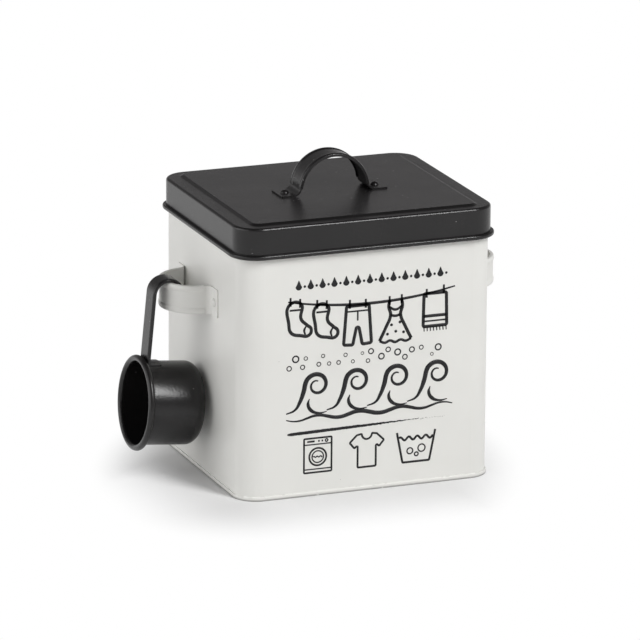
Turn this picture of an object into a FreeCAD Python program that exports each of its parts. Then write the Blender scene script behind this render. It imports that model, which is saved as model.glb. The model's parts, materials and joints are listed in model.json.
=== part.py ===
"""Laundry powder storage box: a tin box with a slip-over lid, three riveted strap handles and a scoop.

Frame: millimetres, +Z up, origin at the centre of the box's foot. The printed front faces -Y and the
scoop hangs on the handle of the -X side.
"""

import FreeCAD, Part
import math
import os
import re

import Sketcher

SIZES = {
    # tin box: one folded wall, seamed to a base
    "box_width": 190.0,
    "box_depth": 164.4,
    "box_height": 197.9,
    "box_corner": 16.1,
    "box_sheet": 0.6,
    "hem_height": 5.0,
    "hem_sheet": 0.8,
    "back_seam_width": 7.0,
    "back_seam_sheet": 0.6,
    "foot_height": 3.0,
    "foot_outset": 0.9,
    "foot_sheet": 0.6,
    "foot_clearance": 0.15,
    # lid that slips over the wall and rests on its hem
    "lid_depth": 22.5,
    "lid_sheet": 0.6,
    "lid_clearance": 1.2,
    "lid_seat_gap": 0.3,
    "lid_edge": 2.0,
    "bead_height": 3.2,
    "bead_outset": 2.6,
    "bead_round": 1.2,
    "panel_height": 1.25,
    "panel_slope": 2.5,
    "panel_inset_side": 11.0,
    "panel_inset_front": 7.3,
    "panel_corner": 7.5,
    # strap handle, the same pressing on the lid and on both sides
    "strap_width": 20.4,
    "strap_sheet": 1.0,
    "strap_half_span": 40.4,
    "strap_foot_corner": 1.0,
    "arch_radius": 26.2,
    "arch_lift": 2.2,
    "bend_radius": 4.5,
    "rib_width": 4.4,
    "rib_lift": 0.6,
    "lip_lift": 0.9,
    "lip_sheet": 0.9,
    "strap_edge": 0.7,
    "rivet_inset": 6.1,
    # where the handles sit
    "lid_handle_back": -4.5,
    "left_handle_back": 6.2,
    "left_handle_height": 132.4,
    "right_handle_back": -7.5,
    "right_handle_height": 134.4,
    # dome rivets
    "rivet_head_radius": 3.2,
    "rivet_head_height": 2.2,
    "rivet_shank_radius": 1.6,
    "rivet_tail_radius": 2.5,
    "rivet_tail_height": 1.2,
    "rivet_clearance": 0.05,
    # scoop: a drawn cup with a curled rim, and a channel strip with a hook
    "cup_radius": 29.4,
    "cup_depth": 43.5,
    "cup_sheet": 0.6,
    "cup_base_round": 8.0,
    "curl_radius": 2.4,
    "curl_end": 20.0,
    "strip_width": 15.5,
    "strip_sheet": 0.8,
    "strip_channel": 2.4,
    "strip_gap": 0.1,
    "strip_edge": 1.4,
    "hook_radius": 11.9,
    "hook_height": 80.7,
    "hook_turn": 50.0,
    "hook_tail": 10.0,
    "tab_length": 11.5,
    "tab_corner": 2.0,
    # how the scoop hangs on the left handle
    "scoop_tilt": 5.5,
    "scoop_forward": 3.2,
    "hook_inset": 2.3,
    "hook_seat_gap": 0.5,
}

doc = FreeCAD.newDocument("laundry_powder_box")
sheet = doc.addObject("Spreadsheet::Sheet", "Sizes")
for row, (alias, value) in enumerate(SIZES.items(), start=1):
    sheet.set(f"A{row}", alias)
    sheet.set(f"B{row}", str(value))
    sheet.setAlias(f"B{row}", alias)
doc.recompute()

# Formulas that several pieces share.
WALL_X = "(box_width/2)"
WALL_Y = "(box_depth/2)"
LID_X = "(box_width/2 + lid_clearance + lid_sheet)"
LID_Y = "(box_depth/2 + lid_clearance + lid_sheet)"
LID_CORNER = "(box_corner + lid_clearance + lid_sheet)"
LID_CEILING = "(box_height + lid_seat_gap)"
LID_TOP = "(box_height + lid_seat_gap + lid_sheet)"
PANEL_TOP = "(box_height + lid_seat_gap + lid_sheet + panel_height)"
CUP_OUTER = "(cup_radius + cup_sheet)"
STRIP_FACE = "(curl_radius + strip_gap)"
RIVET_HOLE = "(rivet_shank_radius + rivet_clearance)"
RIVET_REACH = "(strap_half_span - rivet_inset)"
CUT_MARGIN = 1.0
# Lengths nearer than this count as the same.
SAME = 1e-4


def bound(formula):
    """A formula in the names of SIZES, as an expression on the sheet."""
    return re.sub(r"[a-z]\w+", lambda m: "Sizes." + m[0] if m[0] in SIZES else m[0], str(formula))


def number(formula):
    """What a formula gives with the sheet's present sizes."""
    value = sheet.evalExpression(bound(formula))
    return float(getattr(value, "Value", value))


def body_named(label):
    body = doc.addObject("PartDesign::Body", label)
    body.Label = label
    return body


def sketch_on(body, name, plane, offset=0):
    """A sketch of the body on its own XY, XZ or YZ plane, moved along that plane's normal."""
    role = plane + "_Plane"
    support = next(f for f in body.Origin.OriginFeatures if f.Role == role)
    sketch = body.newObject("Sketcher::SketchObject", name)
    sketch.AttachmentSupport = [(support, "")]
    sketch.MapMode = "FlatFace"
    sketch.setExpression(".AttachmentOffset.Base.z", bound(offset))
    return sketch


def arc_between(start, end, radius, turn):
    """The shorter arc from start to end: turn is 1 for anticlockwise and -1 for clockwise."""
    chord = end - start
    rise = math.sqrt(max(radius**2 - (chord.Length / 2) ** 2, 0))
    normal = FreeCAD.Vector(-chord.y, chord.x, 0).normalize()
    centre = (start + end) / 2 + normal * rise * turn
    first, last = (start, end) if turn > 0 else (end, start)
    angle = [math.atan2(p.y - centre.y, p.x - centre.x) for p in (first, last)]
    return Part.ArcOfCircle(Part.Circle(centre, FreeCAD.Vector(0, 0, 1), radius), *angle)


def loop(sketch, corners, arcs=None):
    """A closed outline. Each corner is (x, y) as formulas, and its edge goes on to the next corner:
    a straight line, or the arc that arcs gives for it as (radius, turn)."""
    arcs = arcs or {}
    first = sketch.GeometryCount
    points = [FreeCAD.Vector(number(x), number(y), 0) for x, y in corners]
    for i, start in enumerate(points):
        end = points[(i + 1) % len(points)]
        if i in arcs:
            radius, turn = arcs[i]
            sketch.addGeometry(arc_between(start, end, number(radius), turn), False)
        else:
            sketch.addGeometry(Part.LineSegment(start, end), False)

    def tip(i, at_end):
        backwards = i in arcs and arcs[i][1] < 0
        return first + i, 2 if at_end != backwards else 1

    for i in range(len(points)):
        after = (i + 1) % len(points)
        sketch.addConstraint(Sketcher.Constraint("Coincident", *tip(i, True), *tip(after, False)))
    for i, corner in enumerate(corners):
        for kind, formula in zip(("DistanceX", "DistanceY"), corner):
            rule = Sketcher.Constraint(kind, -1, 1, *tip(i, False), number(formula))
            tie(sketch, rule, formula)
    for i, (radius, turn) in arcs.items():
        tie(sketch, Sketcher.Constraint("Radius", first + i, number(radius)), radius)


def tie(sketch, rule, formula):
    index = sketch.addConstraint(rule)
    sketch.setExpression(f"Constraints[{index}]", bound(formula))


def rounded_rectangle(sketch, half_x, half_y, corner):
    inner_x, inner_y = f"({half_x} - {corner})", f"({half_y} - {corner})"
    corners = [
        (f"-{inner_x}", f"-{half_y}"), (inner_x, f"-{half_y}"),
        (half_x, f"-{inner_y}"), (half_x, inner_y),
        (inner_x, half_y), (f"-{inner_x}", half_y),
        (f"-{half_x}", inner_y), (f"-{half_x}", f"-{inner_y}"),
    ]
    loop(sketch, corners, {i: (corner, 1) for i in (1, 3, 5, 7)})


def circle(sketch, x, y, radius):
    centre = FreeCAD.Vector(number(x), number(y), 0)
    disc = Part.Circle(centre, FreeCAD.Vector(0, 0, 1), number(radius))
    index = sketch.addGeometry(disc, False)
    tie(sketch, Sketcher.Constraint("DistanceX", -1, 1, index, 3, centre.x), x)
    tie(sketch, Sketcher.Constraint("DistanceY", -1, 1, index, 3, centre.y), y)
    tie(sketch, Sketcher.Constraint("Radius", index, number(radius)), radius)


def axis_line(sketch, height):
    """A level construction line, for a revolution whose axis is off the sketch's own axes."""
    y = number(height)
    ends = FreeCAD.Vector(-1, y, 0), FreeCAD.Vector(1, y, 0)
    index = sketch.addGeometry(Part.LineSegment(*ends), True)
    for point, x in ((1, -1), (2, 1)):
        sketch.addConstraint(Sketcher.Constraint("DistanceX", -1, 1, index, point, x))
        tie(sketch, Sketcher.Constraint("DistanceY", -1, 1, index, point, y), height)


def pad(body, sketch, length, middle=False):
    return prism(body, "PartDesign::Pad", sketch, length, middle)


def pocket(body, sketch, length, middle=False, ahead=False):
    """Cuts against the sketch's normal, or along it where ahead is set."""
    cut = prism(body, "PartDesign::Pocket", sketch, length, middle)
    cut.Reversed = ahead
    return cut


def prism(body, kind, sketch, length, middle):
    feature = body.newObject(kind, sketch.Name + "_" + kind[12:])
    feature.Profile = sketch
    feature.setExpression("Length", bound(length))
    feature.Midplane = middle
    sketch.Visibility = False
    body.Tip = feature
    return feature


def revolve(body, sketch, axis, angle=360, middle=False):
    feature = body.newObject("PartDesign::Revolution", sketch.Name + "_Revolution")
    feature.Profile = sketch
    feature.ReferenceAxis = (sketch, [axis])
    feature.setExpression("Angle", bound(angle))
    feature.Midplane = middle
    body.Tip = feature
    return feature


def loft(body, kind, lower, upper):
    feature = body.newObject("PartDesign::" + kind, lower.Name + "_" + kind)
    feature.Profile = lower
    feature.Sections = [upper]
    feature.Ruled = True
    body.Tip = feature
    return feature


def fillet(body, base, radius, wanted):
    """Rounds the edges of base for which wanted(edge) holds."""
    doc.recompute()
    names = [f"Edge{i}" for i, edge in enumerate(base.Shape.Edges, start=1) if wanted(edge)]
    if not names:
        raise RuntimeError(f"{body.Label} has no edge to round at {base.Label}")
    feature = body.newObject("PartDesign::Fillet", base.Name + "_Fillet")
    feature.Base = (base, names)
    feature.setExpression("Radius", bound(radius))
    body.Tip = feature
    return feature


def level(edge, height):
    """Whether the whole edge lies at one height."""
    return abs(edge.BoundBox.ZMin - height) < SAME and abs(edge.BoundBox.ZMax - height) < SAME


def upright(edge):
    return edge.BoundBox.XLength < SAME and edge.BoundBox.YLength < SAME


def middle_of(edge):
    return edge.valueAt((edge.FirstParameter + edge.LastParameter) / 2)


def beyond(edge, half_x, half_y, distance):
    """Whether the edge's middle is further than distance outside a rectangle about the origin. A fillet
    goes on round the corners by itself, so only the straight edges need to be found."""
    middle = middle_of(edge)
    return max(abs(middle.x) - number(half_x), abs(middle.y) - number(half_y)) > number(distance)


def box_wall():
    """The wall: one sheet folded round four corners, hemmed inwards at the top, seamed at the back up
    to the hem."""
    body = body_named("box_wall")
    stand = "foot_sheet"
    outside = sketch_on(body, "wall_outside", "XY", stand)
    rounded_rectangle(outside, WALL_X, WALL_Y, "box_corner")
    pad(body, outside, f"box_height - {stand}")

    seam = sketch_on(body, "back_seam", "XY", "foot_height + foot_clearance")
    side, face, crest = "(back_seam_width/2)", f"({WALL_Y} - box_sheet/2)", f"({WALL_Y} + back_seam_sheet)"
    loop(seam, [(f"-{side}", face), (side, face), (side, crest), (f"-{side}", crest)])
    pad(body, seam, "box_height - hem_height - foot_height - foot_clearance")

    hollow = sketch_on(body, "wall_hollow", "XY", stand)
    inset = "(box_sheet)"
    rounded_rectangle(hollow, f"({WALL_X} - {inset})", f"({WALL_Y} - {inset})", f"(box_corner - {inset})")
    pocket(body, hollow, f"box_height - {stand} - hem_height", ahead=True)

    hem = sketch_on(body, "wall_hem", "XY", "box_height - hem_height")
    inset = "(box_sheet + hem_sheet)"
    rounded_rectangle(hem, f"({WALL_X} - {inset})", f"({WALL_Y} - {inset})", f"(box_corner - {inset})")
    pocket(body, hem, "hem_height", ahead=True)

    for side, sign in (("left", -1), ("right", 1)):
        holes = sketch_on(body, side + "_holes", "YZ", f"{sign}*({WALL_X} + {CUT_MARGIN})")
        for end in (-1, 1):
            place = f"({side}_handle_back + {end}*{RIVET_REACH})"
            circle(holes, place, f"{side}_handle_height", RIVET_HOLE)
        pocket(body, holes, f"box_sheet + 2*{CUT_MARGIN}", ahead=sign < 0)
    return body


def box_base():
    """The base: a sheet turned down and up again round the wall's lower edge, its floor off the ground."""
    body = body_named("box_base")
    outside = sketch_on(body, "foot_outside", "XY")
    grow = "foot_outset"
    rounded_rectangle(outside, f"({WALL_X} + {grow})", f"({WALL_Y} + {grow})", f"(box_corner + {grow})")
    ring = pad(body, outside, "foot_height")

    groove_outer = sketch_on(body, "groove", "XY", "foot_height")
    out, into = "foot_clearance", "(box_sheet + foot_clearance)"
    rounded_rectangle(groove_outer, f"({WALL_X} + {out})", f"({WALL_Y} + {out})", f"(box_corner + {out})")
    rounded_rectangle(groove_outer, f"({WALL_X} - {into})", f"({WALL_Y} - {into})", f"(box_corner - {into})")
    pocket(body, groove_outer, "foot_height - foot_sheet")

    under = sketch_on(body, "under_floor", "XY")
    turn = "(box_sheet + foot_clearance + foot_sheet)"
    rounded_rectangle(under, f"({WALL_X} - {turn})", f"({WALL_Y} - {turn})", f"(box_corner - {turn})")
    last = pocket(body, under, "foot_height - foot_sheet", ahead=True)

    ends = (0, number("foot_height"))
    fillet(body, last, "foot_sheet/2",
           lambda e: any(level(e, z) for z in ends) and beyond(e, WALL_X, WALL_Y, "foot_outset/2"))
    return body


def lid():
    """The lid: a drawn cover with a rolled bead round its mouth and a raised panel on top."""
    body = body_named("lid")
    mouth = f"({LID_TOP} - lid_depth)"
    skirt = sketch_on(body, "skirt", "XY", mouth)
    rounded_rectangle(skirt, LID_X, LID_Y, LID_CORNER)
    pad(body, skirt, "lid_depth")
    bead = sketch_on(body, "bead", "XY", mouth)
    out = "bead_outset"
    rounded_rectangle(bead, f"({LID_X} + {out})", f"({LID_Y} + {out})", f"({LID_CORNER} + {out})")
    last = pad(body, bead, "bead_height")

    last = fillet(body, last, "lid_edge", lambda e: level(e, number(LID_TOP)))
    ends = (number(mouth), number(f"{mouth} + bead_height"))
    fillet(body, last, "bead_round",
           lambda e: any(level(e, z) for z in ends) and beyond(e, LID_X, LID_Y, "bead_outset/2"))

    hollow = sketch_on(body, "lid_hollow", "XY", mouth)
    shrink = "lid_sheet"
    rounded_rectangle(hollow, f"({LID_X} - {shrink})", f"({LID_Y} - {shrink})", f"({LID_CORNER} - {shrink})")
    cut = pocket(body, hollow, "lid_depth - lid_sheet", ahead=True)
    ceiling = number(LID_CEILING)
    fillet(body, cut, "lid_edge - lid_sheet", lambda e: level(e, ceiling))

    # The panel rises as a slope all round, and the sheet follows it underneath.
    over = ("over", "AdditiveLoft", LID_TOP, "0")
    under = ("under", "SubtractiveLoft", LID_CEILING, "(lid_sheet/2)")
    for name, kind, start, shrink in (over, under):
        rims = []
        for part, rise, step in (("foot", "0", "0"), ("top", "panel_height", "panel_slope")):
            rim = sketch_on(body, f"panel_{name}_{part}", "XY", f"{start} + {rise}")
            half_wide = f"({LID_X} - panel_inset_side - {step} - {shrink})"
            half_deep = f"({LID_Y} - panel_inset_front - {step} - {shrink})"
            rounded_rectangle(rim, half_wide, half_deep, f"(panel_corner - {step} - {shrink})")
            rims.append(rim)
        loft(body, kind, *rims)

    holes = sketch_on(body, "lid_holes", "XY", f"{LID_CEILING} + panel_height - {CUT_MARGIN}")
    for end in (-1, 1):
        circle(holes, f"{end}*{RIVET_REACH}", "lid_handle_back", RIVET_HOLE)
    pocket(body, holes, f"lid_sheet + 2*{CUT_MARGIN}", ahead=True)
    return body


def strap_handle(label):
    """A strap arched over its two feet, in its own frame: seat at z = 0, arch along X, width along Y."""
    body = body_named(label)
    # The arch meets the bends to its feet on the lines between their centres.
    drop = "(strap_sheet + bend_radius - arch_lift)"
    between = "(arch_radius + bend_radius)"
    bend_x = f"sqrt({between}^2 - {drop}^2)"
    inner, outer = "(arch_radius - strap_sheet)", "arch_radius"

    # The arch: a web with a rib pressed up along each edge, and the edge turned under as a lip.
    edge, crown = "(strap_width/2)", "(arch_lift + arch_radius)"
    under, rib_foot = f"({crown} - strap_sheet)", "(strap_width/2 - rib_width)"
    lip = f"({edge} - lip_sheet)"
    section = sketch_on(body, label + "_section", "YZ")
    corners = [
        (f"-{edge}", f"{under} - lip_lift"), (f"-{lip}", f"{under} - lip_lift"), (f"-{lip}", under),
        (lip, under), (lip, f"{under} - lip_lift"), (edge, f"{under} - lip_lift"),
        (edge, crown), (rib_foot, crown), (f"-{rib_foot}", crown), (f"-{edge}", crown),
    ]
    rib_radius = "((rib_width/2)^2 + rib_lift^2)/(2*rib_lift)"
    loop(section, corners, {6: (rib_radius, 1), 8: (rib_radius, 1)})
    axis_line(section, "arch_lift")
    arch = revolve(body, section, "Axis0", f"2*acos({drop}/{between})", middle=True)
    half, height = number(edge), number(crown)
    fillet(body, arch, "strap_edge",
           lambda e: abs(middle_of(e).z - height) < SAME and abs(abs(middle_of(e).y) - half) < SAME)

    feet = sketch_on(body, label + "_feet", "XZ")
    for sign, turn in (("", 1), ("-", -1)):
        outline = [
            (f"{sign}{bend_x}*{inner}/{between}", f"arch_lift + {drop}*{inner}/{between}"),
            (f"{sign}{bend_x}", "0"), (f"{sign}strap_half_span", "0"),
            (f"{sign}strap_half_span", "strap_sheet"), (f"{sign}{bend_x}", "strap_sheet"),
            (f"{sign}{bend_x}*{outer}/{between}", f"arch_lift + {drop}*{outer}/{between}"),
        ]
        loop(feet, outline, {0: ("bend_radius + strap_sheet", turn), 4: ("bend_radius", -turn)})
    strap = pad(body, feet, "strap_width", middle=True)
    span = number("strap_half_span")
    fillet(body, strap, "strap_foot_corner",
           lambda e: upright(e) and abs(middle_of(e).x) > span - SAME)

    holes = sketch_on(body, label + "_holes", "XY", f"-{CUT_MARGIN}")
    for end in (-1, 1):
        circle(holes, f"{end}*{RIVET_REACH}", "0", RIVET_HOLE)
    pocket(body, holes, f"strap_sheet + 2*{CUT_MARGIN}", ahead=True)
    return body


def rivet(label, wall_sheet):
    """A dome rivet in its own frame: z = 0 on the wall's outer face, the head above the strap's foot."""
    body = body_named(label)
    profile = sketch_on(body, label + "_profile", "XZ")
    tail, foot = f"(-{wall_sheet})", "strap_sheet"
    corners = [
        ("0", f"{tail} - rivet_tail_height"), ("rivet_tail_radius", f"{tail} - rivet_tail_height"),
        ("rivet_tail_radius", tail), ("rivet_shank_radius", tail), ("rivet_shank_radius", foot),
        ("rivet_head_radius", foot), ("0", f"{foot} + rivet_head_height"),
    ]
    dome = "(rivet_head_radius^2 + rivet_head_height^2)/(2*rivet_head_height)"
    loop(profile, corners, {5: (dome, 1)})
    revolve(body, profile, "V_Axis")
    return body


def on_circle(centre_x, centre_y, radius, angle):
    return f"({centre_x} + ({radius})*cos({angle}))", f"({centre_y} + ({radius})*sin({angle}))"


def scoop_cup():
    """The scoop's cup, turned about its own X: the rim's curl is centred on x = 0, the base is at +X."""
    body = body_named("scoop_cup")
    profile = sketch_on(body, "cup_profile", "XZ")
    curl_centre, tube = "(cup_radius + curl_radius)", "(curl_radius - cup_sheet)"
    # The curl leaves the cup's wall straight below its own centre and goes round to its free edge.
    wall_angle, curl_tip = 270, "(-curl_end)"
    curl_middle = f"(({wall_angle} - curl_end)/2)"
    base_inside, base_turn = "(cup_depth - cup_sheet)", "(cup_depth - cup_base_round)"
    ring = f"({CUP_OUTER} - cup_base_round)"
    corners = [
        (base_inside, "0"), ("cup_depth", "0"), ("cup_depth", ring), (base_turn, CUP_OUTER),
        ("0", CUP_OUTER),
        on_circle("0", curl_centre, tube, curl_middle), on_circle("0", curl_centre, tube, curl_tip),
        on_circle("0", curl_centre, "curl_radius", curl_tip),
        on_circle("0", curl_centre, "curl_radius", curl_middle),
        ("0", "cup_radius"), (base_turn, "cup_radius"), (base_inside, ring),
    ]
    arcs = {
        2: ("cup_base_round", 1), 4: (tube, -1), 5: (tube, -1), 7: ("curl_radius", 1),
        8: ("curl_radius", 1), 10: ("cup_base_round - cup_sheet", -1),
    }
    loop(profile, corners, arcs)
    revolve(body, profile, "H_Axis")
    return body


def scoop_handle():
    """The scoop's strip in the cup's frame: a channel up from the rim, bent over into a hook, with a tab
    that lies along the cup."""
    body = body_named("scoop_handle")
    centre = f"({STRIP_FACE} + hook_radius)", "hook_height"

    def channel(name, near, far):
        """The strip's side outline between two depths from its outer face."""
        sketch = sketch_on(body, name, "XZ")
        wide, narrow = f"(hook_radius - {near})", f"(hook_radius - {far})"
        (wide_x, wide_z), (narrow_x, narrow_z) = (on_circle(*centre, r, "hook_turn") for r in (wide, narrow))
        along_x, along_z = "(hook_tail*sin(hook_turn))", "(hook_tail*cos(hook_turn))"
        foot = "(cup_radius - curl_radius)"
        corners = [
            (f"{STRIP_FACE} + {near}", foot), (f"{STRIP_FACE} + {near}", "hook_height"),
            (wide_x, wide_z), (f"{wide_x} + {along_x}", f"{wide_z} - {along_z}"),
            (f"{narrow_x} + {along_x}", f"{narrow_z} - {along_z}"), (narrow_x, narrow_z),
            (f"{STRIP_FACE} + {far}", "hook_height"), (f"{STRIP_FACE} + {far}", foot),
        ]
        loop(sketch, corners, {1: (wide, -1), 5: (narrow, 1)})
        return sketch

    strip = pad(body, channel("strip_side", "0", "strip_channel"), "strip_width", middle=True)
    face_x, half = number(STRIP_FACE), number("strip_width/2")
    crown = number("hook_height + hook_radius")

    def outer_edge(edge):
        """Along the strip's outer face: the stretch up from the cup, the hook and its tail."""
        middle = middle_of(edge)
        from_centre = math.hypot(middle.x - number(centre[0]), middle.z - number(centre[1]))
        on_side = abs(abs(middle.y) - half) < SAME and edge.BoundBox.YLength < SAME
        up = abs(middle.x - face_x) < SAME
        return on_side and middle.z < crown and (up or abs(from_centre - number("hook_radius")) < 10 * SAME)

    fillet(body, strip, "strip_edge", outer_edge)
    inside = channel("strip_inside", "strip_sheet", "strip_channel")
    pocket(body, inside, "strip_width - 2*strip_sheet", middle=True)

    bore = sketch_on(body, "cup_seat", "YZ")
    circle(bore, "0", "0", CUP_OUTER)
    pocket(body, bore, f"{STRIP_FACE} + strip_channel + tab_length", ahead=True)

    tab = sketch_on(body, "cup_tab", "YZ", STRIP_FACE)
    side = "(strip_width/2)"
    low, high = (f"sqrt({r}^2 - {side}^2)" for r in (CUP_OUTER, f"({CUP_OUTER} + strip_sheet)"))
    loop(tab, [(f"-{side}", low), (f"-{side}", high), (side, high), (side, low)],
         {1: (f"{CUP_OUTER} + strip_sheet", -1), 3: (CUP_OUTER, 1)})
    tongue = pad(body, tab, "tab_length")
    tip = number(f"{STRIP_FACE} + tab_length")
    fillet(body, tongue, "tab_corner", lambda e: upright(e) and middle_of(e).x > tip - SAME)
    return body


def place(body, x, y, z, rotation=FreeCAD.Rotation()):
    body.Placement = FreeCAD.Placement(FreeCAD.Vector(), rotation)
    for axis, formula in zip("xyz", (x, y, z)):
        body.setExpression(".Placement.Base." + axis, bound(formula))


def facing(x_axis, y_axis, z_axis):
    return FreeCAD.Rotation(*(FreeCAD.Vector(*axis) for axis in (x_axis, y_axis, z_axis)), "XYZ")


def build():
    pieces = [box_wall(), box_base(), lid()]

    # name, wall sheet, rotation, seat, direction of the arch, names of its two rivets
    left, right = facing((0, -1, 0), (0, 0, 1), (-1, 0, 0)), facing((0, 1, 0), (0, 0, 1), (1, 0, 0))
    handles = (
        ("lid", "lid_sheet", FreeCAD.Rotation(), ("0", "lid_handle_back", PANEL_TOP), (1, 0), ("right", "left")),
        ("left", "box_sheet", left, (f"-{WALL_X}", "left_handle_back", "left_handle_height"),
         (0, -1), ("front", "rear")),
        ("right", "box_sheet", right, (WALL_X, "right_handle_back", "right_handle_height"),
         (0, 1), ("rear", "front")),
    )
    for name, wall_sheet, rotation, seat, along, ends in handles:
        handle = strap_handle(name + "_handle")
        place(handle, *seat, rotation)
        pieces.append(handle)
        for end, sign in zip(ends, (1, -1)):
            pin = rivet(f"{name}_handle_{end}_rivet", wall_sheet)
            shifts = [f" + {sign * step}*{RIVET_REACH}" if step else "" for step in (*along, 0)]
            place(pin, *(start + shift for start, shift in zip(seat, shifts)), rotation)
            pieces.append(pin)

    # The hook rests on the left handle's upper edge, and the scoop leans as it hangs.
    hook_x, hook_z = f"({STRIP_FACE} + hook_radius)", "hook_height"
    hang_x = f"(-({WALL_X} + arch_lift + arch_radius) + hook_inset)"
    hang_z = "(left_handle_height + strap_width/2 + hook_seat_gap - hook_radius + strip_channel)"
    tilt_cos, tilt_sin = "cos(scoop_tilt)", "sin(scoop_tilt)"
    for piece in (scoop_cup(), scoop_handle()):
        place(piece, f"{hang_x} - {hook_x}*{tilt_cos} - {hook_z}*{tilt_sin}",
              "left_handle_back - scoop_forward",
              f"{hang_z} + {hook_x}*{tilt_sin} - {hook_z}*{tilt_cos}",
              FreeCAD.Rotation(FreeCAD.Vector(0, 1, 0), number("scoop_tilt")))
        piece.setExpression(".Placement.Rotation.Angle", bound("scoop_tilt"))
        pieces.append(piece)
    return pieces


pieces = build()
doc.recompute()
for item in doc.Objects:
    if {"Invalid", "Error"} & set(item.State):
        raise RuntimeError(f"{item.Label} failed: {item.State}")
for piece in pieces:
    if piece.Shape.isNull() or not piece.Shape.isValid() or len(piece.Shape.Solids) != 1:
        raise RuntimeError(f"{piece.Label} is not one valid solid")

os.makedirs("parts", exist_ok=True)
for piece in pieces:
    piece.Shape.exportStep(f"parts/{piece.Label}.step")
    print(f"{piece.Label}: {piece.Shape.Volume:.0f} mm3")
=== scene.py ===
import json
import math
import random
from typing import Callable, NamedTuple

import bpy
from mathutils import Matrix, Vector


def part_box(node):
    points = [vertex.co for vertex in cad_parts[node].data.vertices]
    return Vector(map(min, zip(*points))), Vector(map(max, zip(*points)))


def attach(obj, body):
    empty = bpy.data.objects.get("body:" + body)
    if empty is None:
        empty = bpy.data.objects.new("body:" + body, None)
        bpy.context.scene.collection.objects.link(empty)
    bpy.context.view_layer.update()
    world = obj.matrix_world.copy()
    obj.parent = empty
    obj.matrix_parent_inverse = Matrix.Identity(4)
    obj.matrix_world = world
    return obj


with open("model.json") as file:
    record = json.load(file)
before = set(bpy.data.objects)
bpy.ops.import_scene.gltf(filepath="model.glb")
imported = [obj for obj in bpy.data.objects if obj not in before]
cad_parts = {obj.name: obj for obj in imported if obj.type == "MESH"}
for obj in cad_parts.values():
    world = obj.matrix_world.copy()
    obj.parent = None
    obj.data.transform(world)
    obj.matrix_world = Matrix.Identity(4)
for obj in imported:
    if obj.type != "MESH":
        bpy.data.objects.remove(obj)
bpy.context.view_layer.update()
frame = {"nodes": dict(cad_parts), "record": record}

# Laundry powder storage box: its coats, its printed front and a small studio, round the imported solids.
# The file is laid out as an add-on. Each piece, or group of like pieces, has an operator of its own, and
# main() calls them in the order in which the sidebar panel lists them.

bl_info = {
    "name": "Laundry powder box",
    "version": (1, 0, 0),
    "blender": (4, 5, 0),
    "location": "View3D > Sidebar > Laundry box",
    "description": "Coats, front print and studio for a tin box of washing powder with a scoop",
    "category": "Object",
}

MM = 0.001
WALL_LOW, WALL_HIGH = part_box("box_wall")
LID_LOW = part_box("lid")[0]
WHITE, BLACK = "white_coat", "black_coat"
RECORD_COLOUR = {entry["slot"]: entry["base_color"][:3] for entry in frame["record"]["materials"]}
NODE_SLOT = {entry["node"]: entry["material_slot"] for entry in frame["record"]["subparts"]}


# ---------------------------------------------------------------- sizes and colours to change

class CoatSettings(bpy.types.PropertyGroup):
    """The powder coats of the sheet metal."""

    white: bpy.props.FloatVectorProperty(
        name="White coat", description="Colour of the box, its base and its side handles",
        subtype="COLOR", size=3, min=0, max=1, default=RECORD_COLOUR[WHITE])
    black: bpy.props.FloatVectorProperty(
        name="Black coat", description="Colour of the lid, its handle and the scoop",
        subtype="COLOR", size=3, min=0, max=1, default=RECORD_COLOUR[BLACK])
    grain: bpy.props.FloatProperty(
        name="Grain", description="Width of one dimple of the coat's orange peel",
        unit="LENGTH", min=0.0002, max=0.01, default=0.0018)
    waviness: bpy.props.FloatProperty(
        name="Waviness", description="Length of the slow waves in the pressed sheet",
        unit="LENGTH", min=0.01, max=0.2, default=0.045)


class PrintSettings(bpy.types.PropertyGroup):
    """The print on the front wall. Its places are millimetres up from the floor and across from the
    middle of the wall."""

    ink: bpy.props.FloatVectorProperty(
        name="Ink", description="Colour of the print", subtype="COLOR", size=3, min=0, max=1,
        default=(0.009, 0.009, 0.010))
    film: bpy.props.FloatProperty(
        name="Film", description="Thickness of the ink, in millimetres", min=0.02, max=0.5,
        default=0.08)
    brush: bpy.props.FloatProperty(
        name="Brush", description="Width of the bold strokes, in millimetres", min=1, max=6,
        default=3.1)
    pen: bpy.props.FloatProperty(
        name="Pen", description="Width of the pictograms' lines, in millimetres", min=0.4, max=3,
        default=1.35)
    border_height: bpy.props.FloatProperty(
        name="Drops", description="Height of the row of drops, in millimetres", default=151.4)
    line_height: bpy.props.FloatProperty(
        name="Washing line", description="Height of the washing line's ends, in millimetres",
        default=143.5)
    wave_height: bpy.props.FloatProperty(
        name="Waves", description="Height of the waves' troughs, in millimetres", default=62.0)
    rule_height: bpy.props.FloatProperty(
        name="Rule", description="Height of the dry-brushed rule's left end, in millimetres",
        default=46.6)
    pictogram_height: bpy.props.FloatProperty(
        name="Pictograms", description="Height of the pictograms' feet, in millimetres", default=17.0)
    seed: bpy.props.IntProperty(
        name="Seed", description="Seed of the dry brush and the bubbles", default=7)


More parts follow.
